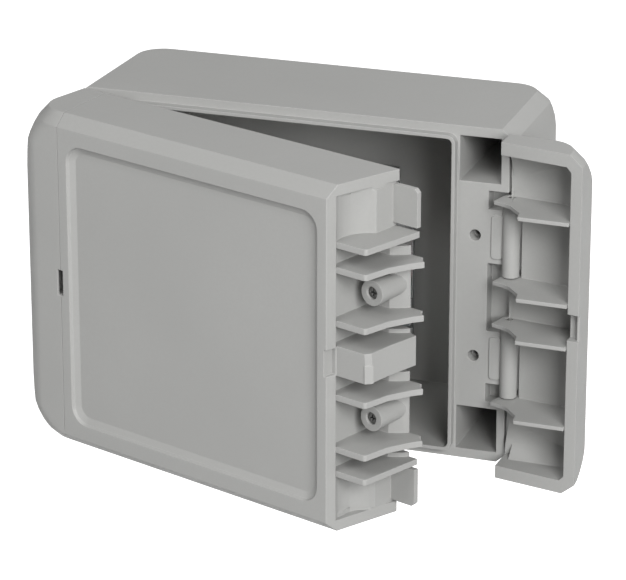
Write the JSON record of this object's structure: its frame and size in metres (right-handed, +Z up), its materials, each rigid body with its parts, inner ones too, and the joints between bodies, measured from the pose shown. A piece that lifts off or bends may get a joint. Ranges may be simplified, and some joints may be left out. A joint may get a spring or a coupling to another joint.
{
  "type": "fiber termination box",
  "caption": "Grey wall-mounted fiber termination box with a side-hinged lid, clip-on side strips, splice tray, adapters, cable gland and drop cable grommets.",
  "frame": {"origin": "centre of the flat back face of the base, which lies on the wall", "axes": "+X to the right seen from the front, +Y into the wall, +Z up; the front faces -Y"},
  "size_m": [0.2044, 0.1405, 0.1495],
  "materials": {
    "shell": "matte, light grey moulded ABS",
    "steel": "satin",
    "dark_steel": "dark passivated",
    "zinc_sheet": "satin zinc plating",
    "seal_rubber": "matte",
    "tray_plastic": "matte",
    "dark_plastic": "matte",
    "sleeve_plastic": "glossy heat-shrink",
    "clear_plastic": "clear",
    "adapter_green": "satin",
    "cap_red": "matte",
    "brass_post": "satin",
    "gland_black": "matte nylon"
  },
  "bodies": {
    "base": {"base_shell": "shell", "hinge_pins": "steel", "latch_pins": "steel", "mounting_plate": "zinc_sheet", "plate_screws": "steel", "tray_bracket": "zinc_sheet", "tray_pin": "steel", "adapter_bracket": "zinc_sheet", "bracket_screws": "steel", "fiber_adapters": "adapter_green", "dust_caps": "cap_red", "cable_anchor": "dark_plastic", "cable_strap": "dark_plastic", "strap_screws": "steel", "strength_post": "brass_post", "post_screw": "steel", "gland_body": "gland_black", "gland_ring": "seal_rubber", "gland_locknut": "gland_black", "gland_seal": "seal_rubber", "drop_grommets": "seal_rubber"},
    "lid": {"lid_shell": "shell", "hinge_strip": "shell", "lid_gasket": "seal_rubber", "lid_screws": "dark_steel"},
    "latch": {"latch_strip": "shell"},
    "tray": {"splice_tray": "tray_plastic", "splice_combs": "dark_plastic", "splice_sleeves": "sleeve_plastic", "tray_cover": "clear_plastic"},
    "gland_nut": {"gland_cap": "gland_black"}
  },
  "joints": [
    {"name": "lid_hinge", "type": "hinge", "parent": "base", "child": "lid", "pos_m": [-0.082, -0.0595, 0], "axis": [0, 0, -1], "range_deg": [-20.9, 74]},
    {"name": "latch_hinge", "type": "hinge", "parent": "base", "child": "latch", "pos_m": [0.082, -0.0595, 0], "axis": [0, 0, 1], "range_deg": [-88.1, 7]},
    {"name": "tray_hinge", "type": "hinge", "parent": "base", "child": "tray", "pos_m": [0, -0.014, -0.011], "axis": [1, 0, 0], "range_deg": [0, 65]},
    {"name": "gland_cap_turn", "type": "hinge", "parent": "base", "child": "gland_nut", "pos_m": [-0.046, -0.0315, -0.08], "axis": [0, 0, -1], "range_deg": [0, 360]}
  ]
}
